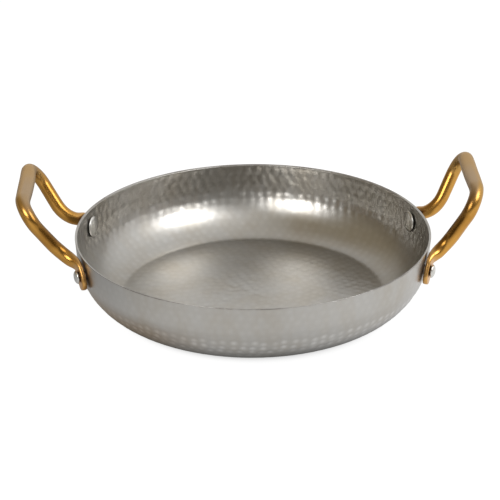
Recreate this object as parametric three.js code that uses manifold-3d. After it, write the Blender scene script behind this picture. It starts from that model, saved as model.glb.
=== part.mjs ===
// A hammered two-handled pan: one spun sheet-metal pan, and two brass bar handles whose ends are forged
// flat and held to the wall by two solid rivets each.
// Millimetres, +Z up. The origin is the centre of the underside, and the handles lie on the X axis.
import * as THREE from "three";
import { mergeVertices } from "three/addons/utils/BufferGeometryUtils.js";
import Module from "manifold-3d";

const wasm = await Module();
wasm.setup();

const degree = Math.PI / 180;

// Pan
const rimDiameter = 240; // over the outside of the rim
const panHeight = 48.5;
const sheet = 1.5;
const wallTaper = 4 * degree; // how far the wall leans in on its way down
const cornerRadius = 39.4; // outside, the wide curve below the wall
const floorBend = 8; // outside, the tight bend where that curve meets the flat floor
const floorLean = 18 * degree; // how steep the curve still is there
const rimEasing = 0.4; // the cut edge of the rim is filed this much on both sides
const panSegments = 104;
const cornerSteps = 7;
const floorBendSteps = 2;

// Clearances
const seatGap = 0.3; // between the faces of pieces that are riveted together
const holeGap = 0.3; // between a rivet's shank and its hole, all round
const cutterPast = 2; // how far a hole's cutter runs on past the faces that it goes through
const samePoint = 1e-3; // points that are closer than this are one point

// Rivets
const rivetSpacing = 80; // between the two rivets of one handle, across the wall
const rivetDrop = 12.6; // from the rim down to a rivet's centre, at the wall
const shankDiameter = 6;
const headDiameter = 15; // the wide hammered head inside the pan
const headHeight = 2.9;
const headEdge = 1.2; // the straight rim of that head, below its dome
const peenDiameter = 9.6; // the closed end on the flat of the handle
const peenHeight = 2.8;
const peenEdge = 0.6;
const rivetSegments = 22;
const domeSteps = 4;

// Handle bar: straight runs joined by round bends, flat at the feet
const rodDiameter = 9.6;
const tabWidth = 17;
const tabThickness = 4;
const tabEdge = 1.8; // rounding along the edges of the flat
const tabBelowRivet = 10.2; // from the rivet down to the end of the flat
const tabSlant = 27 * degree; // the flats lean towards each other at the top
const kneeAboveRivet = 7.8; // from the rivet up to where the bar turns away from the wall
const kneeBend = 7;
const sweepReach = 12.4; // from the knee out to the waist, seen from the side
const sweepAngle = 22 * degree;
const waistWidth = 56; // between the two runs at their lower bends
const waistBend = 19;
const gripRise = 44.6; // from the waist to the crossbar, seen from the side
const gripAngle = 61 * degree;
const gripWidth = 86; // between the two runs at the crossbar
const gripBend = 14.2;
const thicknessRun = [0, 10]; // where the flat thickens into the rod, from the start of the knee
const widthRun = [-6, 8]; // where the flat narrows into the rod, from the start of the knee
const rodSides = 20;
const bendStep = 9 * degree;
const runStep = 9; // longest straight piece between two rings
const tabEndSteps = 5;

// The handles were bent by hand, and one stands a little steeper than the other
const handles = [
  { name: "right", turn: 0, lean: 3.3 * degree },
  { name: "left", turn: Math.PI, lean: -3.3 * degree },
];

const metal = new THREE.MeshStandardMaterial({ color: 0x9a9892, roughness: 0.42, metalness: 1 });
const rivetMetal = new THREE.MeshStandardMaterial({ color: 0xb4b2ab, roughness: 0.4, metalness: 1 });
const brass = new THREE.MeshStandardMaterial({ color: 0xc28f35, roughness: 0.25, metalness: 1 });

// Closed geometry to a solid and back
function toSolid(geometry) {
  const bare = new THREE.BufferGeometry();
  bare.setAttribute("position", geometry.getAttribute("position"));
  bare.setIndex(geometry.index);
  const merged = mergeVertices(bare, samePoint);
  return new wasm.Manifold(
    new wasm.Mesh({
      numProp: 3,
      vertProperties: new Float32Array(merged.attributes.position.array),
      triVerts: new Uint32Array(merged.index.array),
    }),
  );
}

function toGeometry(solid) {
  const mesh = solid.getMesh();
  const geometry = new THREE.BufferGeometry();
  geometry.setAttribute("position", new THREE.BufferAttribute(mesh.vertProperties, mesh.numProp));
  geometry.setIndex(new THREE.BufferAttribute(mesh.triVerts, 1));
  geometry.computeVertexNormals();
  return geometry;
}

// A profile of [radius, height] points turned about the Z axis. It runs from the axis at the bottom,
// round the outside, to the axis at the top.
function turned(profile, segments) {
  const points = profile.map(([radius, height]) => new THREE.Vector2(radius, height));
  return new THREE.LatheGeometry(points, segments).rotateX(Math.PI / 2);
}

// The straight part of the wall, from the outside, and the centres of the corner that runs into it and
// of the floor's bend, as [radius, height]. The bend touches the floor and runs smoothly into the corner.
const rimRadius = rimDiameter / 2;
const straightRadius = (height) => rimRadius - (panHeight - height) * Math.tan(wallTaper);
const betweenCentres = cornerRadius - floorBend;
const cornerHeight = floorBend + betweenCentres * Math.cos(floorLean);
const cornerCentre = [straightRadius(cornerHeight) - cornerRadius / Math.cos(wallTaper), cornerHeight];
const floorBendCentre = [cornerCentre[0] + betweenCentres * Math.sin(floorLean), floorBend];

// Points on an arc of the pan's section. Angles are the slope there, with 0 on the flat floor.
function slopedArc([radius, height], arcRadius, from, to, steps) {
  return Array.from({ length: steps + 1 }, (_, step) => {
    const angle = THREE.MathUtils.lerp(from, to, step / steps);
    return [radius + arcRadius * Math.sin(angle), height - arcRadius * Math.cos(angle)];
  });
}

// The section of a skin from the edge of the floor up to the wall's taper, this deep in from the outside
function curvedPart(depth) {
  const wallLean = Math.PI / 2 - wallTaper;
  const bend = slopedArc(floorBendCentre, floorBend - depth, 0, floorLean, floorBendSteps);
  const corner = slopedArc(cornerCentre, cornerRadius - depth, floorLean, wallLean, cornerSteps);
  return [...bend, ...corner.slice(1)];
}

// The outside of the wall at a height: its radius, and how far it leans in there
function wallAt(height) {
  const drop = THREE.MathUtils.clamp((cornerCentre[1] - height) / cornerRadius, -1, 1);
  const cornerLean = Math.asin(drop);
  if (cornerLean <= wallTaper) return { radius: straightRadius(height), lean: wallTaper };
  return { radius: cornerCentre[0] + cornerRadius * Math.cos(cornerLean), lean: cornerLean };
}

// The pan without its holes. A thicker one, grown inwards, stands for the room that a rivet's head
// leaves to the wall.
function makePan(thickness) {
  const wallAcross = thickness / Math.cos(wallTaper);
  const easingIn = rimEasing * Math.tan(wallTaper);
  const outside = [
    [0, 0],
    ...curvedPart(0),
    [rimRadius - easingIn, panHeight - rimEasing],
    [rimRadius - rimEasing, panHeight],
  ];
  const inside = [
    [rimRadius - wallAcross + rimEasing, panHeight],
    [rimRadius - wallAcross - easingIn, panHeight - rimEasing],
    ...curvedPart(thickness).reverse(),
    [0, thickness],
  ];
  return toSolid(turned([...outside, ...inside], panSegments));
}

// One foot of a handle, on the rear half of the +X side: where its rivet passes through the wall, and
// the three directions there. "out" is square to the wall, and "along" runs up the slanted flat.
const rivetHeight = panHeight - rivetDrop;
const footWall = wallAt(rivetHeight);
const footAngle = Math.asin(rivetSpacing / 2 / footWall.radius);

function makeFoot() {
  const radial = new THREE.Vector3(Math.cos(footAngle), Math.sin(footAngle), 0);
  const round = new THREE.Vector3(-Math.sin(footAngle), Math.cos(footAngle), 0);
  const vertical = new THREE.Vector3(0, 0, 1);
  const out = radial.clone().multiplyScalar(Math.cos(footWall.lean));
  out.addScaledVector(vertical, -Math.sin(footWall.lean));
  const upWall = radial.clone().multiplyScalar(Math.sin(footWall.lean));
  upWall.addScaledVector(vertical, Math.cos(footWall.lean));
  const along = upWall.multiplyScalar(Math.cos(tabSlant)).addScaledVector(round, -Math.sin(tabSlant));
  const wallPoint = radial.clone().multiplyScalar(footWall.radius).setZ(rivetHeight);
  return { wallPoint, out, along };
}

const foot = makeFoot();
const tabMiddle = foot.wallPoint.clone().addScaledVector(foot.out, seatGap + tabThickness / 2);

// The corner points of half a bar's centre line, from the end of the flat to the middle of the crossbar
function barCorners(lean) {
  const end = tabMiddle.clone().addScaledVector(foot.along, -tabBelowRivet);
  const knee = tabMiddle.clone().addScaledVector(foot.along, kneeAboveRivet);
  const waist = new THREE.Vector3(
    knee.x + sweepReach * Math.cos(sweepAngle + lean),
    waistWidth / 2,
    knee.z + sweepReach * Math.sin(sweepAngle + lean),
  );
  const corner = new THREE.Vector3(
    waist.x + gripRise * Math.cos(gripAngle + lean),
    gripWidth / 2,
    waist.z + gripRise * Math.sin(gripAngle + lean),
  );
  const middle = new THREE.Vector3(corner.x, 0, corner.z);
  return { end, knee, waist, corner, middle };
}

// A round bend between two straight runs, as a list of points. It is never longer than "room" on
// either run.
function bendPoints(before, at, after, radius, room) {
  const back = before.clone().sub(at).normalize();
  const on = after.clone().sub(at).normalize();
  const turn = Math.PI - back.angleTo(on);
  const tangent = Math.min(radius * Math.tan(turn / 2), room);
  const used = tangent / Math.tan(turn / 2);
  const start = at.clone().addScaledVector(back, tangent);
  const toCentre = back.clone().add(on).normalize();
  const centre = at.clone().addScaledVector(toCentre, used / Math.cos(turn / 2));
  const spoke = start.clone().sub(centre);
  const axis = back.clone().negate().cross(on).normalize();
  const steps = Math.ceil(turn / bendStep);
  return Array.from({ length: steps + 1 }, (_, step) =>
    spoke.clone().applyAxisAngle(axis, (turn * step) / steps).add(centre),
  );
}

// Adds points to straight runs that are longer than a step
function fillRuns(points, step) {
  const filled = [points[0]];
  for (const point of points.slice(1)) {
    const last = filled[filled.length - 1];
    const pieces = Math.ceil(last.distanceTo(point) / step);
    for (let piece = 1; piece <= pieces; piece += 1)
      filled.push(last.clone().lerp(point, piece / pieces));
  }
  return filled;
}

// The centre line of half a bar, and how far along it the knee lies
function barCentreLine(lean) {
  const { end, knee, waist, corner, middle } = barCorners(lean);
  const sweep = knee.distanceTo(waist);
  const kneeRoom = Math.min(kneeAboveRivet, sweep) / 2;
  const kneeArc = bendPoints(end, knee, waist, kneeBend, kneeRoom);
  const waistRoom = waist.distanceTo(kneeArc[kneeArc.length - 1]);
  const waistArc = bendPoints(knee, waist, corner, waistBend, waistRoom);
  const cornerArc = bendPoints(waist, corner, middle, gripBend, gripWidth / 2);
  const line = fillRuns([end, ...kneeArc, ...waistArc, ...cornerArc, middle], runStep);
  const kneeAlong = end.distanceTo(kneeArc[0]);
  const isNew = (point, i) => i === 0 || point.distanceTo(line[i - 1]) > samePoint;
  return { line: line.filter(isNew), kneeAlong };
}

// 0 before a stretch of the bar, 1 past it, and a smooth rise between
const easeOver = ([from, to], place) => THREE.MathUtils.smoothstep(place, from, to);

// The bar's section at a place along it: the width and thickness, and the radius of its edges
function barSection(place) {
  const thick = THREE.MathUtils.lerp(tabThickness, rodDiameter, easeOver(thicknessRun, place));
  const wide = THREE.MathUtils.lerp(tabWidth, rodDiameter, easeOver(widthRun, place));
  const edge = THREE.MathUtils.lerp(tabEdge, rodDiameter / 2, easeOver(thicknessRun, place));
  return { thick, wide: Math.max(wide, 2 * edge), edge };
}

// One ring of points round the centre line: a rectangle with round edges, or a circle where the
// edges are as round as the rod
function ringPoints(centre, across, out, { thick, wide, edge }) {
  return Array.from({ length: rodSides }, (_, side) => {
    const angle = ((side + 0.5) / rodSides) * 2 * Math.PI;
    const cos = Math.cos(angle);
    const sin = Math.sin(angle);
    const x = Math.sign(cos) * (wide / 2 - edge) + edge * cos;
    const y = Math.sign(sin) * (thick / 2 - edge) + edge * sin;
    return centre.clone().addScaledVector(across, x).addScaledVector(out, y);
  });
}

// A solid through a list of rings, with a fan over each end
function loft(rings) {
  const sides = rings[0].length;
  const middleOf = (ring) =>
    ring.reduce((sum, point) => sum.add(point), new THREE.Vector3()).divideScalar(sides);
  const points = [...rings.flat(), middleOf(rings[0]), middleOf(rings[rings.length - 1])];
  const firstMiddle = points.length - 2;
  const lastMiddle = points.length - 1;
  const lastRing = (rings.length - 1) * sides;
  const faces = [];
  for (let side = 0; side < sides; side += 1) {
    const next = (side + 1) % sides;
    for (let start = 0; start < lastRing; start += sides) {
      const [a, b, c, d] = [start + side, start + next, start + sides + next, start + sides + side];
      faces.push(a, b, c, a, c, d);
    }
    faces.push(firstMiddle, next, side);
    faces.push(lastMiddle, lastRing + side, lastRing + next);
  }
  const geometry = new THREE.BufferGeometry().setFromPoints(points);
  return geometry.setIndex(faces);
}

// The rings of half a bar. The flat starts as a round-ended paddle, and the section keeps its
// direction through every bend without twisting.
function halfBarRings(lean) {
  const { line, kneeAlong } = barCentreLine(lean);
  const endRadius = tabWidth / 2;
  const rings = [];
  const flat = barSection(-kneeAlong);
  let out = foot.out.clone();
  let direction = foot.along.clone();
  let across = out.clone().cross(direction).normalize();
  for (let step = 1; step < tabEndSteps; step += 1) {
    const angle = (step / tabEndSteps) * (Math.PI / 2);
    const centre = line[0].clone().addScaledVector(direction, endRadius * (1 - Math.cos(angle)));
    const wide = Math.max(flat.wide * Math.sin(angle), 2 * flat.edge);
    rings.push(ringPoints(centre, across, out, { ...flat, wide }));
  }
  let place = -kneeAlong;
  for (let i = 1; i < line.length; i += 1) {
    place += line[i].distanceTo(line[i - 1]);
    const before = line[i].clone().sub(line[i - 1]).normalize();
    const after = i + 1 < line.length ? line[i + 1].clone().sub(line[i]).normalize() : before;
    const next = before.clone().add(after).normalize();
    const turn = new THREE.Quaternion().setFromUnitVectors(direction, next);
    out = out.applyQuaternion(turn);
    across = across.applyQuaternion(turn);
    direction = next;
    if (line[0].distanceTo(line[i]) >= endRadius || place > 0)
      rings.push(ringPoints(line[i], across, out, barSection(place)));
  }
  return rings;
}

const mirrored = (ring) => ring.map((point) => new THREE.Vector3(point.x, -point.y, point.z));

// A straight round bar through the wall and the flat, for cutting a rivet hole
function holeCutter(centre, out) {
  const radius = shankDiameter / 2 + holeGap;
  const length = 2 * (sheet + seatGap + tabThickness + cutterPast);
  const cutter = new THREE.CylinderGeometry(radius, radius, length, rivetSegments);
  cutter.applyQuaternion(new THREE.Quaternion().setFromUnitVectors(new THREE.Vector3(0, 1, 0), out));
  return toSolid(cutter.translate(...centre.toArray()));
}

// The wall point and the outward direction of the rear (+1) or front (-1) foot on the +X side
const footPlace = (side) => ({
  centre: foot.wallPoint.clone().multiply(new THREE.Vector3(1, side, 1)),
  out: foot.out.clone().multiply(new THREE.Vector3(1, side, 1)),
});

function makeHandle(lean) {
  const half = halfBarRings(lean);
  const bar = toSolid(loft([...half, ...half.slice(0, -1).reverse().map(mirrored)]));
  return [1, -1].reduce((solid, side) => {
    const { centre, out } = footPlace(side);
    return solid.subtract(holeCutter(centre, out));
  }, bar);
}

// A dome over a straight edge, from its rim in to the axis, as [radius, height] points. Heights are
// measured from the face that it sits on.
function domeProfile(diameter, height, edge) {
  const rise = height - edge;
  return Array.from({ length: domeSteps + 1 }, (_, step) => {
    const angle = (step / domeSteps) * (Math.PI / 2);
    const radius = step < domeSteps ? (diameter / 2) * Math.cos(angle) : 0;
    return [radius, edge + rise * Math.sin(angle)];
  });
}

// One closed rivet, made along Z with its outward end up. The wide head inside the pan is hammered down
// to the curve of the wall, the shank passes through the wall and the flat, and the peened end sits on
// the flat.
function makeRivet({ centre, out }) {
  const raised = (profile, by) => profile.map(([radius, height]) => [radius, by + height]);
  const peenSeat = 2 * seatGap + tabThickness;
  const shankStart = -sheet - headHeight / 2; // inside the head
  const head = [
    ...domeProfile(headDiameter, -headHeight, -headEdge).reverse(),
    [headDiameter / 2, 0],
    [0, 0],
  ];
  const shank = [
    [0, shankStart],
    [shankDiameter / 2, shankStart],
    [shankDiameter / 2, peenSeat],
    [peenDiameter / 2, peenSeat],
    ...raised(domeProfile(peenDiameter, peenHeight, peenEdge), peenSeat),
  ];
  const turn = new THREE.Quaternion().setFromUnitVectors(new THREE.Vector3(0, 0, 1), out);
  const placed = (profile) =>
    toSolid(turned(profile, rivetSegments).applyQuaternion(turn).translate(...centre.toArray()));
  const seatedHead = placed(raised(head, -sheet)).subtract(makePan(sheet + seatGap));
  return toGeometry(seatedHead.add(placed(shank)));
}

// The pan with its four rivet holes
function makePiercedPan() {
  const up = new THREE.Vector3(0, 0, 1);
  let pan = makePan(sheet);
  for (const { turn } of handles)
    for (const side of [1, -1]) {
      const { centre, out } = footPlace(side);
      pan = pan.subtract(holeCutter(centre.applyAxisAngle(up, turn), out.applyAxisAngle(up, turn)));
    }
  return toGeometry(pan);
}

function named(name, geometry, material) {
  const mesh = new THREE.Mesh(geometry, material);
  mesh.name = name;
  return mesh;
}

const assembly = new THREE.Group();
assembly.add(named("pan_body", makePiercedPan(), metal));

for (const { name, turn, lean } of handles) {
  const side = new THREE.Group();
  side.rotation.z = turn;
  side.add(named(`handle_${name}`, toGeometry(makeHandle(lean)), brass));
  for (const half of [1, -1]) {
    const place = half * Math.cos(turn) > 0 ? "rear" : "front";
    side.add(named(`rivet_${name}_${place}`, makeRivet(footPlace(half)), rivetMetal));
  }
  assembly.add(side);
}

export default assembly;
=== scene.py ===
import math
import random
from collections import namedtuple

import bmesh
import bpy
from mathutils import Matrix, Quaternion, Vector, kdtree, noise


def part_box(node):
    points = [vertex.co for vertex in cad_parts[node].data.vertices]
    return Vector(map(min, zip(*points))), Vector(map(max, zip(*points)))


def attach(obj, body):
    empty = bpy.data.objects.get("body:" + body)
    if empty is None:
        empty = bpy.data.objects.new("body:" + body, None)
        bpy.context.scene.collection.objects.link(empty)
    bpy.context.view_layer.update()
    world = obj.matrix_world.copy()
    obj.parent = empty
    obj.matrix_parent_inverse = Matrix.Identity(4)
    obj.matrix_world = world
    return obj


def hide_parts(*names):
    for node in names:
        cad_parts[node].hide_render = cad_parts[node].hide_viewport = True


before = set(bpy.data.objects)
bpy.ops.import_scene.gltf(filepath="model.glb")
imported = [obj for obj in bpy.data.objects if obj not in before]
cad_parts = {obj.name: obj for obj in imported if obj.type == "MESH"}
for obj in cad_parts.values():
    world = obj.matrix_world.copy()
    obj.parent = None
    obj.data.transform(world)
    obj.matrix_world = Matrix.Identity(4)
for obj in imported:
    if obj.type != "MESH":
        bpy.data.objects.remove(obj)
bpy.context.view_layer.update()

dice = random.Random(11)

mm = 0.001
degree = math.pi / 180
turn_round = 2 * math.pi

# Pan, after the frame and the sheet that it is made of. Bends are those of the outside: the floor's
# starts floor_radius from the axis, and the corner's centre is corner_reach from it, corner_height up.
_, pan_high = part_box("pan_body")
rim_radius = pan_high.x
pan_height = pan_high.z
sheet = 1.5 * mm
wall_taper = 4 * degree
corner_radius = 39.4 * mm
floor_bend = 10 * mm
floor_lean = 18 * degree
between_centres = corner_radius - floor_bend
corner_height = floor_bend + between_centres * math.cos(floor_lean)
corner_reach = (
    rim_radius
    - (pan_height - corner_height) * math.tan(wall_taper)
    - corner_radius / math.cos(wall_taper)
)
floor_radius = corner_reach + between_centres * math.sin(floor_lean)

# The rim's cut edge: how much lower it lies inside than outside, and how far its corners are rounded
rim_slant = 0.6 * mm
rim_easing = 0.25 * mm
rim_segments = 3

# How fine the pan's mesh is, along each skin's section and round it. Rings near the middle have fewer
# points: inside each radius of thinned only every second, fourth or eighth is kept.
Skin = namedtuple("Skin", "inset floor_step step thinned")
inside = Skin(sheet, 1.15 * mm, 1.15 * mm, ((58 * mm, 2), (28 * mm, 4), (13 * mm, 8)))
outside = Skin(0, 2.4 * mm, 1.2 * mm, ((82 * mm, 2), (40 * mm, 4), (20 * mm, 8)))
pan_columns = 560
seam_reach = 0.002 * mm

# Hammer marks: how far apart the rows and the blows in a row are, and how unevenly they fell
row_step = 4.9 * mm
blow_step = 6.5 * mm
fewest_in_row = 3
blow_reach = 3.4 * mm
blow_scatter = 0.85 * mm
blow_uneven = 0.4
overlap_power = 4
shine_power = 3
blows_compared = 7
deepest_blow = 0.34 * mm

# The marks of each zone: how deep they are, as a share of the deepest, how much taller than wide, and
# how much they shine, as a painted highlight at their middles
Marks = namedtuple("Marks", "depth tall shine")
floor_marks = Marks(0.26, 1.0, 0.15)
curve_marks = Marks(0.10, 1.0, 0.15)
wall_marks = Marks(1.0, 1.15, 0.15)
faint_marks = Marks(0.18, 1.0, 0.1)
bright_marks = Marks(0.9, 1.0, 0.75)

# Where the zones change: at the floor's edge and up the wall inside, and at the bottom and the top of
# the bright marks outside. All marks fade just below the rim.
floor_edge = (floor_radius - 5 * mm, floor_radius)
wall_begins = (17 * mm, 29 * mm)
bright_begins = (7 * mm, 12 * mm)
bright_ends = (19 * mm, 27 * mm)
marks_end = (pan_height - 2.5 * mm, pan_height - 0.6 * mm)

# The inner wall is also a little rippled, by this much, in ripples this wide and tall
ripple_depth = 0.06 * mm
ripple_size = Vector((2.4 * mm, 2.4 * mm, 5 * mm))

# Rivets, after the frame's own, and how far from each the hole is looked for in the mesh
rivet_spacing = 80 * mm
rivet_drop = 12.6 * mm
rivet_hole_radius = 3.3 * mm
hole_surroundings = 3 * rivet_hole_radius

# Camera: where the photograph was taken from, and how it was framed. Its lens and its sensor are in mm.
camera_distance = 1300 * mm
camera_azimuth = -1.7 * degree
camera_elevation = 23.98 * degree
camera_pitch = 24.56 * degree
camera_yaw = 0.1 * degree
camera_roll = 0.32 * degree
camera_target = Vector((0, 0, pan_height))
camera_lens = 138.6
camera_sensor = 36

# Which of a node's outputs is meant: of Texture Coordinate, of Attribute and of Light Path
generated, object_place = 0, 3
attribute_value = 2
camera_ray, glossy_ray, transmission_ray = 0, 3, 6


def ease(low, high, value):
    """0 below low, 1 above high, and a smooth rise between."""
    share = min(max((value - low) / (high - low), 0), 1)
    return share * share * (3 - 2 * share)


def blend(a, b, share):
    return a + (b - a) * share


class Wire:
    """A number in a node tree. Python's signs on it add Math nodes."""

    def __init__(self, paint, socket):
        self.paint = paint
        self.socket = socket

    def math(self, operation, *values):
        return self.paint.node("Math", {"operation": operation}, *values)[0]

    def __add__(self, other):
        return self.math("ADD", self, other)

    def __radd__(self, other):
        return self.math("ADD", other, self)

    def __sub__(self, other):
        return self.math("SUBTRACT", self, other)

    def __rsub__(self, other):
        return self.math("SUBTRACT", other, self)

    def __mul__(self, other):
        return self.math("MULTIPLY", self, other)

    def __rmul__(self, other):
        return self.math("MULTIPLY", other, self)

    def __truediv__(self, other):
        return self.math("DIVIDE", self, other)

    def __rtruediv__(self, other):
        return self.math("DIVIDE", other, self)

    def __pow__(self, other):
        return self.math("POWER", self, other)

    def __neg__(self):
        return self.math("MULTIPLY", self, -1.0)

    def most(self, other):
        return self.math("MAXIMUM", self, other)

    def ease(self, low, high):
        """0 below low, 1 above high, and a smooth rise between."""
        settings = {"interpolation_type": "SMOOTHSTEP"}
        return self.paint.node("MapRange", settings, self, low, high, 0.0, 1.0)[0]


class Paint:
    """The node tree of a material or of the world, emptied first."""

    def __init__(self, owner):
        owner.use_nodes = True
        self.tree = owner.node_tree
        self.tree.nodes.clear()

    def node(self, kind, settings=None, *values, **named):
        """Adds a node, gives it its settings, then a value or a link for each input socket."""
        made = self.tree.nodes.new("ShaderNode" + kind)
        for name, setting in (settings or {}).items():
            setattr(made, name, setting)
        sockets = list(enumerate(values)) + [(name.replace("_", " "), v) for name, v in named.items()]
        for key, value in sockets:
            if isinstance(value, Wire):
                self.tree.links.new(value.socket, made.inputs[key])
            elif value is not None:
                made.inputs[key].default_value = value
        return [Wire(self, socket) for socket in made.outputs if socket.enabled]

    def mix_colors(self, share, a, b):
        """One colour over another: a where share is 0, b where it is 1."""
        made = self.tree.nodes.new("ShaderNodeMix")
        made.data_type = "RGBA"
        by_kind = {"Factor": share, "A": a, "B": b}
        for socket in made.inputs:
            if not socket.enabled:
                continue
            value = by_kind[socket.name]
            if isinstance(value, Wire):
                self.tree.links.new(value.socket, socket)
            else:
                socket.default_value = value if socket.name == "Factor" else (*value, 1.0)
        return next(Wire(self, socket) for socket in made.outputs if socket.enabled)

    def lumps(self, place, scale, detail, roughness=None):
        """Noise with about this many lumps to the metre."""
        return self.node("TexNoise", None, Vector=place, Scale=scale, Detail=detail, Roughness=roughness)[0]

    def noted(self, name):
        """What the mesh notes under this name."""
        return self.node("Attribute", {"attribute_name": name})[attribute_value]

    def finish(self, kind, shader):
        self.node("Output" + kind, None, Surface=shader)

    def finish_metal(self, tone, rough, bumps=None):
        shader = self.node(
            "BsdfPrincipled", None, Base_Color=tone, Metallic=1.0, Roughness=rough, Normal=bumps
        )[0]
        self.finish("Material", shader)


def gloss(name):
    material = bpy.data.materials.new(name)
    return material, Paint(material)


def from_axis(x, y):
    """How far a place is from the pan's axis."""
    return (x * x + y * y) ** 0.5


# Colours are the metal's own, as it looks where it reflects something white, save the painted highlight,
# shade and reflection noted below
pan_grey = (0.405, 0.395, 0.375)
pan_grey_warm = (0.375, 0.35, 0.31)
# The next grey is a painted highlight, at the middles of the hammer marks
pan_grey_highlight = (0.60, 0.59, 0.57)
pan_grey_rim_dark = (0.17, 0.16, 0.15)
brass_gold = (0.53, 0.275, 0.06)
# The next colour, and the grey one two lines on, are a painted reflection on top of the crossbars
brass_sheen = (0.42, 0.26, 0.085)
brass_brown = (0.38, 0.18, 0.035)
brass_sheen_grey = (0.40, 0.285, 0.165)
# The next brass is painted shade, where the brass faces in and up
brass_side_shade = (0.14, 0.062, 0.010)
brass_dull = (0.58, 0.34, 0.13)
rivet_grey = (0.62, 0.61, 0.58)
rivet_grey_deep = (0.42, 0.41, 0.38)

# The pan's satin: lathe marks drawn out round it, grain, and warmer clouds drawn out up the wall
lathe_lumps = 1400.0
lathe_round = 0.06
grain_lumps = 900.0
cloud_lumps = 38.0
cloud_up = 0.4
warm_clouds = (0.38, 0.66)
warm_share = 0.8
satin_rough, grain_rough, lathe_rough = 0.25, 0.08, 0.05
lathe_height, grain_height = 0.6, 0.4
bump_strength = 0.25
bump_depth = 0.05 * mm

# The rim's cut edge is painted darker from here up, most of all in patches, but less so towards the
# handles, this far out, squared
rim_dark_edge = (pan_height - 0.9 * mm, pan_height - 0.4 * mm)
rim_dark_share = 0.15
rim_dark_patches = (0.44, 0.60)
rim_dark_patch_share = 0.6
rim_less_dark_reach = ((98 * mm) ** 2, (112 * mm) ** 2)
rim_less_dark_share = 0.6


def paint_pan():
    material, paint = gloss("hammered_satin_metal")
    place = paint.node("TexCoord")[object_place]
    x, y, z = paint.node("SeparateXYZ", None, place)
    radius = from_axis(x, y)
    # Round the pan one way and along its section the other, so that marks of the lathe run round it
    out = radius.most(mm)
    turned = paint.node(
        "CombineXYZ", None, x / out * lathe_round, y / out * lathe_round, radius + z
    )[0]
    lathe = paint.lumps(turned, lathe_lumps, 3.0)
    grain = paint.lumps(place, grain_lumps, 4.0)
    stretched = paint.node("CombineXYZ", None, x, y, z * cloud_up)[0]
    clouds = paint.lumps(stretched, cloud_lumps, 4.0, 0.65)
    tone = paint.mix_colors(clouds.ease(*warm_clouds) * warm_share, pan_grey, pan_grey_warm)
    # A painted highlight at the middle of each hammer mark
    tone = paint.mix_colors(paint.noted("dimple_highlight"), tone, pan_grey_highlight)
    # The rim's cut edge painted darker, in patches, and less so towards the handles
    rim_dark = z.ease(*rim_dark_edge) * (1.0 - rim_less_dark_share * (x * x).ease(*rim_less_dark_reach))
    rim_dark = rim_dark * (rim_dark_share + rim_dark_patch_share * clouds.ease(*rim_dark_patches))
    tone = paint.mix_colors(rim_dark, tone, pan_grey_rim_dark)
    rough = satin_rough + grain_rough * grain + lathe_rough * lathe
    height = lathe_height * lathe + grain_height * grain
    bumps = paint.node("Bump", None, Strength=bump_strength, Distance=bump_depth, Height=height)[0]
    paint.finish_metal(tone, rough, bumps)
    return material


# The crossbars, where hands hold them, are duller, and paler on top, a painted reflection of the bright
# room above: this high up, and this far to each side, squared
wear_and_sheen_height = (68 * mm, 80 * mm)
wear_and_sheen_width = ((28 * mm) ** 2, (42 * mm) ** 2)
sheen_share = 0.85
sheen_grey = (0.1, 1.0)

# Grime has dulled the flats that are riveted on, out to this far from the pan's axis
grimy_reach = (119 * mm, 127 * mm)
grimy_share = 0.8

# Brown clouds, painted shade that the clouds make uneven, and fine scuffs
brass_cloud_lumps = 45.0
scuff_lumps = 420.0
brown_clouds = (0.42, 0.70)
brown_share = 0.7
side_shade_share, side_shade_cloud_share = 0.6, 0.4
brass_rough, scuff_rough, cloud_rough, worn_rough, grime_rough = 0.22, 0.04, 0.06, 0.12, 0.10


def paint_brass():
    material, paint = gloss("polished_brass")
    place = paint.node("TexCoord")[object_place]
    x, y, z = paint.node("SeparateXYZ", None, place)
    clouds = paint.lumps(place, brass_cloud_lumps, 4.0, 0.6)
    scuffs = paint.lumps(place, scuff_lumps, 3.0)
    wear_and_sheen = z.ease(*wear_and_sheen_height) * (1.0 - (y * y).ease(*wear_and_sheen_width))
    grime = 1.0 - from_axis(x, y).ease(*grimy_reach)
    tone = paint.mix_colors(clouds.ease(*brown_clouds) * brown_share, brass_gold, brass_brown)
    # Painted shade where the brass faces in and up, deeper on the front legs
    side_shade = paint.noted("side_shade")
    side_shade_amount = side_shade * (side_shade_share + side_shade_cloud_share * clouds)
    tone = paint.mix_colors(side_shade_amount, tone, brass_side_shade)
    # On top of the crossbars, a painted reflection of the bright room above, greyer where they face in and
    # up
    sheen = paint.mix_colors(side_shade.ease(*sheen_grey), brass_sheen, brass_sheen_grey)
    tone = paint.mix_colors(wear_and_sheen * sheen_share, tone, sheen)
    tone = paint.mix_colors(grime * grimy_share, tone, brass_dull)
    rough = brass_rough + scuff_rough * scuffs + cloud_rough * clouds
    rough = rough + worn_rough * wear_and_sheen + grime_rough * grime
    paint.finish_metal(tone, rough)
    return material


# The rivets' grain, and the deeper grey in it
rivet_grain_lumps = 700.0
rivet_grain_edge = (0.4, 0.7)
rivet_grain_share = 0.5
rivet_rough, rivet_grain_rough = 0.28, 0.14


def paint_rivets():
    material, paint = gloss("rivet_metal")
    grain = paint.lumps(paint.node("TexCoord")[object_place], rivet_grain_lumps, 3.0)
    deep = grain.ease(*rivet_grain_edge) * rivet_grain_share
    tone = paint.mix_colors(deep, rivet_grey, rivet_grey_deep)
    paint.finish_metal(tone, rivet_rough + rivet_grain_rough * grain)
    return material


def piece_from(bm, name, material, smooth=True):
    mesh = bpy.data.meshes.new(name)
    for face in bm.faces:
        face.smooth = smooth
    bm.to_mesh(mesh)
    bm.free()
    mesh.materials.append(material)
    piece = bpy.data.objects.new(name, mesh)
    bpy.context.scene.collection.objects.link(piece)
    return piece


def stand_for(piece, node):
    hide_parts(node)
    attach(piece, "root")


# Pan
Blow = namedtuple("Blow", "place around upward tall depth shine")


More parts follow.
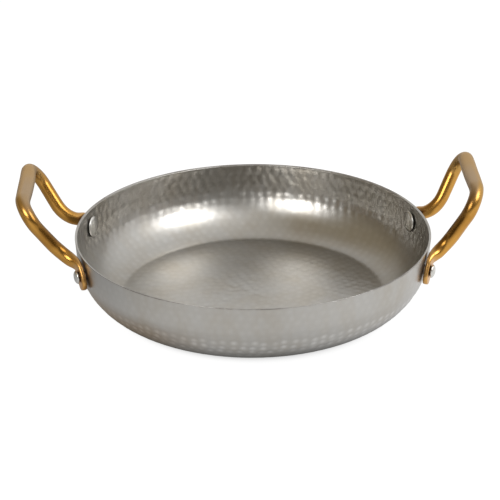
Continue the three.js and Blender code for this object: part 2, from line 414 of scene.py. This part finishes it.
def draw_skin(bm, skin):
    """One skin's section in the XZ plane: out along the floor, through its bend, round the corner and
    up the wall. Returns its vertices in that order."""
    def draw(start, length, step, centre=(0, 0), angle=0, way=Vector()):
        steps = round(length / step)
        drawn = bmesh.ops.spin(
            bm,
            geom=[start],
            cent=(centre[0], 0, centre[1]),
            axis=(0, -1, 0),
            angle=angle,
            dvec=way * length / steps,
            steps=steps,
        )
        return next(item for item in drawn["geom_last"] if isinstance(item, bmesh.types.BMVert))

    def draw_arc(start, centre, radius, angle):
        return draw(start, angle * radius, skin.step, centre, angle)

    wall_lean = math.pi / 2 - wall_taper
    radius = corner_radius - skin.inset
    top = pan_height - (rim_slant if skin is inside else 0)
    climb = (top - corner_height + radius * math.cos(wall_lean)) / math.sin(wall_lean)
    middle = bm.verts.new((0, 0, skin.inset))
    floor_end = draw(middle, floor_radius, skin.floor_step, way=Vector((1, 0, 0)))
    bend_end = draw_arc(floor_end, (floor_radius, floor_bend), floor_bend - skin.inset, floor_lean)
    corner_end = draw_arc(bend_end, (corner_reach, corner_height), radius, wall_lean - floor_lean)
    wall_way = Vector((math.cos(wall_lean), 0, math.sin(wall_lean)))
    rim = draw(corner_end, climb, skin.step, way=wall_way)
    line = [middle]
    while line[-1] != rim:
        here = line[-1]
        others = [edge.other_vert(here) for edge in here.link_edges]
        line.append(next(other for other in others if other not in line[-2:]))
    return line


def rows_of_blows(line, marks_at):
    """Blows on one skin, in rings. line is the skin's section, and marks_at gives a place's marks."""
    rows = []
    walked = row_step / 2
    for before, after in zip(line, line[1:]):
        length = (after - before).length
        while walked < length:
            rows.append((before.lerp(after, walked / length), (after - before).normalized()))
            walked += row_step
        walked -= length
    blows = []
    for row, (here, upward) in enumerate(rows):
        count = max(fewest_in_row, round(turn_round * here.x / blow_step))
        marks = marks_at(here)
        for number in range(count):
            slip = dice.uniform(-blow_scatter, blow_scatter)
            angle = (number + row % 2 / 2) / count * turn_round + slip / here.x
            turn = Matrix.Rotation(angle, 3, "Z")
            rise = dice.uniform(-blow_scatter, blow_scatter)
            size = dice.uniform(1 - blow_uneven, 1 + blow_uneven)
            blows.append(
                Blow(
                    turn @ (here + upward * rise),
                    turn @ Vector((0, 1, 0)),
                    turn @ upward,
                    marks.tall,
                    marks.depth * size,
                    marks.shine * size,
                )
            )
    return blows


def wall_share(place):
    """0 in the floor and the corner, and 1 up the wall."""
    return ease(*wall_begins, place.z)


def blend_marks(a, b, share):
    return Marks(*(blend(from_a, from_b, share) for from_a, from_b in zip(a, b)))


def inside_marks(place):
    """Inside, the marks are light on the floor, faint in the corner, and deep up the wall."""
    low = blend_marks(floor_marks, curve_marks, ease(*floor_edge, place.x))
    return blend_marks(low, wall_marks, wall_share(place))


def outside_marks(place):
    """Outside, they are faint underneath and up the wall, and deep and bright low on the corner."""
    bright = ease(*bright_begins, place.z) * (1 - ease(*bright_ends, place.z))
    return blend_marks(faint_marks, bright_marks, bright)


def tree_of(blows):
    """For finding the blows that are nearest to a place."""
    tree = kdtree.KDTree(len(blows))
    for index, blow in enumerate(blows):
        tree.insert(blow.place, index)
    tree.balance()
    return tree


def hammer(bm, ring, dimple_highlight, first_outside, blows_inside, blows_outside):
    """Sinks the blows into the skins. Where two meet, the deeper one counts most. Also notes a painted
    highlight at the blows' middles.
    """
    by_side = [(blows, tree_of(blows)) for blows in (blows_inside, blows_outside)]
    bm.normal_update()
    moves = []
    for vert in bm.verts:
        is_outside = vert[ring] >= first_outside
        blows, tree = by_side[is_outside]
        kept = 1 - ease(*marks_end, vert.co.z)
        sunk = shine = 0
        for _, index, _ in tree.find_n(vert.co, blows_compared):
            blow = blows[index]
            away = (vert.co - blow.place) / blow_reach
            far = away.dot(blow.around) ** 2 + (away.dot(blow.upward) / blow.tall) ** 2
            dish = max(1 - far, 0)
            sunk += (blow.depth * dish) ** overlap_power
            shine = max(shine, blow.shine * dish**shine_power)
        vert[dimple_highlight] = shine * kept
        sunk = sunk ** (1 / overlap_power) * deepest_blow
        if not is_outside:
            place = Vector(part / size for part, size in zip(vert.co, ripple_size))
            sunk += ripple_depth * (0.5 + 0.5 * noise.noise(place)) * wall_share(vert.co)
        moves.append(vert.normal * -sunk * kept)
    for vert, move in zip(bm.verts, moves):
        vert.co += move


def thin_rings(bm, ring, first_outside):
    """Fewer points in the rings round the middle, where they would crowd."""
    found = {}
    for vert in bm.verts:
        column = round(math.atan2(vert.co.y, vert.co.x) / turn_round * pan_columns) % pan_columns
        found[vert[ring], column] = vert
    welds = {}
    for (number, column), vert in found.items():
        skin = outside if number >= first_outside else inside
        radius = vert.co.xy.length
        keep = max((every for limit, every in skin.thinned if radius < limit), default=1)
        if number not in (0, first_outside) and column % keep:
            welds[vert] = found[number, column - column % keep]
    bmesh.ops.weld_verts(bm, targetmap=welds)


def rivet_axes():
    """Where each rivet passes through the outside of the wall, and its outward direction."""
    reach = rim_radius - rivet_drop * math.tan(wall_taper)
    slip = math.asin(rivet_spacing / 2 / reach)
    for angle in (slip, -slip, math.pi - slip, math.pi + slip):
        turn = Matrix.Rotation(angle, 3, "Z")
        out = turn @ Vector((math.cos(wall_taper), 0, -math.sin(wall_taper)))
        yield turn @ Vector((reach, 0, pan_height - rivet_drop)), out


def off_axis(vert, centre, out):
    """The way from a hole's axis to a vertex, straight across the hole."""
    away = vert.co - centre
    return away - out * away.dot(out)


def pierce(bm):
    """Opens the four rivet holes through both skins."""
    for centre, out in rivet_axes():
        near = [vert for vert in bm.verts if (vert.co - centre).length < hole_surroundings]
        core = {vert for vert in near if off_axis(vert, centre, out).length < rivet_hole_radius}
        faces = {face for vert in core for face in vert.link_faces}
        border = {edge for face in faces for edge in face.edges if not core.intersection(edge.verts)}
        for vert in {vert for edge in border for vert in edge.verts}:
            away = off_axis(vert, centre, out)
            vert.co += away.normalized() * (rivet_hole_radius - away.length)
        bmesh.ops.delete(bm, geom=list(core), context="VERTS")
        loops = [edge for edge in border if edge.is_valid and edge.is_boundary]
        bmesh.ops.bridge_loops(bm, edges=loops)
    bmesh.ops.recalc_face_normals(bm, faces=bm.faces)


def make_pan(material):
    bm = bmesh.new()
    # The first layer is fetched after the second is made, because making one ends the hold on others
    bm.verts.layers.int.new("ring")
    dimple_highlight = bm.verts.layers.float.new("dimple_highlight")
    ring = bm.verts.layers.int["ring"]
    inner = draw_skin(bm, inside)
    outer = draw_skin(bm, outside)
    bm.edges.new((inner[-1], outer[-1]))
    for number, vert in enumerate(inner + outer):
        vert[ring] = number
    first_outside, last_outside = len(inner), len(inner) + len(outer) - 1
    line_inside = [vert.co.copy() for vert in inner]
    line_outside = [vert.co.copy() for vert in outer]
    bmesh.ops.spin(
        bm,
        geom=bm.verts[:] + bm.edges[:],
        cent=(0, 0, 0),
        axis=(0, 0, 1),
        angle=turn_round,
        steps=pan_columns,
        use_merge=True,
    )
    bmesh.ops.remove_doubles(bm, verts=bm.verts, dist=seam_reach)
    thin_rings(bm, ring, first_outside)
    bmesh.ops.recalc_face_normals(bm, faces=bm.faces)
    rim = [
        edge
        for edge in bm.edges
        if all(vert[ring] in (first_outside - 1, last_outside) for vert in edge.verts)
        and edge.verts[0][ring] == edge.verts[1][ring]
    ]
    bmesh.ops.bevel(
        bm,
        geom=rim,
        offset=rim_easing,
        offset_type="OFFSET",
        segments=rim_segments,
        profile=0.5,
        affect="EDGES",
        material=-1,
    )
    blows_inside = rows_of_blows(line_inside, inside_marks)
    blows_outside = rows_of_blows(line_outside, outside_marks)
    hammer(bm, ring, dimple_highlight, first_outside, blows_inside, blows_outside)
    pierce(bm)
    return piece_from(bm, "pan", material)


# Handles and rivets keep the frame's shapes, made smooth and a little uneven, as forging left them: by
# how much, in lumps this wide. Their triangles are first joined where they lie this flat and square.
forged_depth, forged_lumps = 0.45 * mm, 14 * mm
facet_depth, facet_width = 0.4 * mm, 3.2 * mm
weld_reach = 0.005 * mm
flat_enough, square_enough = 25 * degree, 50 * degree
handle_levels, rivet_levels = 2, 1

# The crossbars are flattened out to the first of these distances to each side, and not past the second
crossbar_flat = (23 * mm, 31 * mm)
crossbar_depth = 14 * mm
crossbar_spread = 0.36
crossbar_bulge = 0.4
crossbar_thinned = 0.06

# The flats that are riveted on end this far from the pan's axis
tab_reach = 127 * mm
tab_rounds = 2

# Painted shade on the brass where it faces in and up: how facing in and facing up count towards it, and
# from where to where it grows. The rear legs have this share of it, and the change lies between these
# distances to the front.
facing_in, facing_up = 0.85, 0.5
side_shade_grows = (-0.05, 0.6)
rear_share = 0.35
front_begins = (-20 * mm, 20 * mm)


def merged_copy(node):
    bm = bmesh.new()
    bm.from_mesh(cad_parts[node].data)
    bmesh.ops.remove_doubles(bm, verts=bm.verts, dist=weld_reach)
    bmesh.ops.join_triangles(
        bm, faces=bm.faces, angle_face_threshold=flat_enough, angle_shape_threshold=square_enough
    )
    return bm


def roughen(bm, depth, grain):
    """Sinks each vertex a little, by noise with lumps of this size."""
    bm.normal_update()
    moves = [vert.normal * -depth * (0.5 + 0.5 * noise.noise(vert.co / grain)) for vert in bm.verts]
    for vert, move in zip(bm.verts, moves):
        vert.co += move


def smoothed(piece, levels):
    finer = piece.modifiers.new("finer", "SUBSURF")
    finer.levels = finer.render_levels = levels
    return piece


def flatten_crossbar(bm):
    """Spreads the crossbar towards the pan, as hammering it flat on top does."""
    middle = [vert.co for vert in bm.verts if abs(vert.co.y) < crossbar_flat[0]]
    centre_x = (min(co.x for co in middle) + max(co.x for co in middle)) / 2
    centre_z = (min(co.z for co in middle) + max(co.z for co in middle)) / 2
    for vert in bm.verts:
        high = ease(centre_z - crossbar_depth, centre_z - crossbar_depth / 2, vert.co.z)
        across = abs(vert.co.y)
        share = high * (1 - ease(*crossbar_flat, across))
        share *= 1 - crossbar_bulge * min(across / crossbar_flat[0], 1) ** 2
        out = vert.co.x - centre_x
        if out * centre_x < 0:
            vert.co.x = centre_x + out * (1 + crossbar_spread * share)
        vert.co.z = centre_z + (vert.co.z - centre_z) * (1 - crossbar_thinned * share)


def ease_tabs(bm):
    """Rounds the edges of the flats that are riveted on."""
    tabs = [vert for vert in bm.verts if vert.co.xy.length < tab_reach and vert.co.z < pan_height]
    for _ in range(tab_rounds):
        bmesh.ops.smooth_vert(
            bm, verts=tabs, factor=0.5, use_axis_x=True, use_axis_y=True, use_axis_z=True
        )


def note_side_shade(bm):
    """Notes how far each place faces in and up, where the brass gets painted shade. The front legs get more
    of it than the rear ones."""
    side_shade = bm.verts.layers.float.new("side_shade")
    bm.normal_update()
    for vert in bm.verts:
        inward = -vert.normal.x * math.copysign(1, vert.co.x)
        older = blend(rear_share, 1.0, ease(*front_begins, -vert.co.y))
        vert[side_shade] = older * ease(*side_shade_grows, facing_in * inward + facing_up * vert.normal.z)


def make_handle(side, material):
    bm = merged_copy(f"handle_{side}")
    flatten_crossbar(bm)
    ease_tabs(bm)
    roughen(bm, forged_depth, forged_lumps)
    note_side_shade(bm)
    piece = smoothed(piece_from(bm, f"handle_bar_{side}", material), handle_levels)
    stand_for(piece, f"handle_{side}")


def make_rivet(place, material):
    bm = merged_copy(f"rivet_{place}")
    roughen(bm, facet_depth, facet_width)
    piece = smoothed(piece_from(bm, f"rivet_closed_{place}", material), rivet_levels)
    stand_for(piece, f"rivet_{place}")


# Studio: a white floor, which counts as lit from under the pan's edge outwards
white = (1.0, 1.0, 1.0)
floor_half = 30.0
floor_grey = (0.8, 0.8, 0.8, 1.0)
under_pan = (80 * mm, 100 * mm)
ground_white = 0.88
ground_glow = 1.09

# In reflections the floor is dark beside the pan, a painted shadow, and brightens away from it, in two
# steps
painted_shadow_dark = 0.20
near_pan, near_rise = (96 * mm, 119 * mm), 0.64
past_pan, past_rise = (120 * mm, 155 * mm), 0.16

# It is dim on the left, along a line turned a little to the front, and brighter on the right
left_dark = 0.35
left_turn = 0.9
left_dim, left_rise = (-250 * mm, 60 * mm), 0.51
right_bright, right_rise = (0.0, 120 * mm), 0.16

# Beside the pan on the left it also has a brown tinge
floor_brown = (0.58, 0.46, 0.34)
brown_near = (105 * mm, 145 * mm)
brown_left = (20 * mm, 90 * mm)

# The room: its colours low and high on the left, on the right, behind the pan and low in front
room_left_low = (0.18, 0.135, 0.08)
room_left_high = (0.39, 0.325, 0.22)
room_right = (1.16, 1.16, 1.16)
room_behind = (0.98, 0.97, 0.95)
room_front = (0.165, 0.155, 0.135)
room_front_share = 0.90

# Where each of them begins and is full, as shares of a direction to the right, to the rear or up
left_height = (0.08, 0.55)
right_side = (-0.5, 0.45)
behind_depth = (0.1, 0.75)
behind_side = (-0.85, -0.1)
front_depth = (0.0, 0.5)
front_top = (0.55, 0.9)
horizon = (0.05, 0.12)

# Soft boxes: where they stand, seen from the pan, how wide and tall they are, and how bright they look
soft_box_distance = 900 * mm
SoftBox = namedtuple("SoftBox", "name azimuth elevation width height glow")
soft_boxes = (
    SoftBox("soft_box_right", 61 * degree, 47 * degree, 500 * mm, 500 * mm, 6.5),
    SoftBox("soft_box_left", -36 * degree, 37 * degree, 520 * mm, 360 * mm, 7.8),
)


def make_floor():
    """A white floor that keeps a faint shadow. In reflections it darkens to the left and by the pan."""
    bm = bmesh.new()
    bmesh.ops.create_grid(bm, x_segments=1, y_segments=1, size=floor_half)
    material, paint = gloss("studio_floor")
    rays = paint.node("LightPath")
    mirrored = rays[glossy_ray].most(rays[transmission_ray])
    x, y, _ = paint.node("SeparateXYZ", None, paint.node("TexCoord")[object_place])
    radius = from_axis(x, y)
    # Painted shadow beside the pan, seen only in reflections
    near = painted_shadow_dark + near_rise * radius.ease(*near_pan) + past_rise * radius.ease(*past_pan)
    left = left_dark + left_rise * (x - left_turn * y).ease(*left_dim)
    left = left + right_rise * x.ease(*right_bright)
    glow = ground_glow * (1.0 - mirrored * (1.0 - near * left))
    brown = mirrored * (1.0 - radius.ease(*brown_near)) * (-x).ease(*brown_left)
    color = paint.mix_colors(brown, white, floor_brown)
    matt = paint.node("BsdfDiffuse", None, Color=floor_grey)[0]
    lit = paint.node("Emission", None, Color=color, Strength=glow)[0]
    seen = rays[camera_ray].most(mirrored) * radius.ease(*under_pan) * ground_white
    shader = paint.node("MixShader", None, seen, matt, lit)[0]
    paint.finish("Material", shader)
    floor = piece_from(bm, "studio_floor", material, smooth=False)


def make_world():
    """The room round the pan: white behind it, bright on the right, dim and warm on the left, and dark
    low in front, between the soft boxes."""
    world = bpy.data.worlds.new("studio")
    bpy.context.scene.world = world
    paint = Paint(world)
    x, y, z = paint.node("SeparateXYZ", None, paint.node("TexCoord")[generated])
    left = paint.mix_colors(z.ease(*left_height), room_left_low, room_left_high)
    room = paint.mix_colors(x.ease(*right_side), left, room_right)
    behind = y.ease(*behind_depth) * x.ease(*behind_side)
    room = paint.mix_colors(behind, room, room_behind)
    front = (-y).ease(*front_depth) * (1.0 - z.ease(*front_top))
    room = paint.mix_colors(front * room_front_share, room, room_front)
    room = paint.mix_colors(z.ease(*horizon), white, room)
    shader = paint.node("Background", None, Color=room, Strength=1.0)[0]
    paint.finish("World", shader)


def seen_from_pan(azimuth, elevation):
    """The direction from the pan to a thing this far round to the right of the front, and this far up."""
    level = math.cos(elevation)
    return Vector((math.sin(azimuth) * level, -math.cos(azimuth) * level, math.sin(elevation)))


def aim(thing, look, roll=0):
    """Puts a lamp or the camera into the scene, turned to look this way."""
    thing.rotation_mode = "QUATERNION"
    thing.rotation_quaternion = Quaternion(look, roll) @ look.to_track_quat("-Z", "Y")
    bpy.context.scene.collection.objects.link(thing)


def make_lamp(box):
    """An oval soft box that faces the pan, with its light given as it looks in a mirror."""
    data = bpy.data.lights.new(box.name, "AREA")
    data.shape = "ELLIPSE"
    data.size, data.size_y = box.width, box.height
    data.energy = box.glow * math.pi * math.pi / 4 * box.width * box.height
    lamp = bpy.data.objects.new(box.name, data)
    back = seen_from_pan(box.azimuth, box.elevation)
    lamp.location = back * soft_box_distance
    aim(lamp, -back)


def make_camera():
    data = bpy.data.cameras.new("camera")
    data.lens = camera_lens
    data.sensor_width = camera_sensor
    camera = bpy.data.objects.new("camera", data)
    back = seen_from_pan(camera_azimuth, camera_elevation)
    camera.location = camera_target + back * camera_distance
    aim(camera, -seen_from_pan(camera_azimuth + camera_yaw, camera_pitch), camera_roll)
    bpy.context.scene.camera = camera


make_camera()
make_floor()
make_world()
for soft_box in soft_boxes:
    make_lamp(soft_box)

pan_metal = paint_pan()
brass = paint_brass()
rivet_metal = paint_rivets()

stand_for(make_pan(pan_metal), "pan_body")
for side in ("right", "left"):
    make_handle(side, brass)
    for end in ("front", "rear"):
        make_rivet(f"{side}_{end}", rivet_metal)

bpy.context.scene.view_settings.view_transform = "Standard"
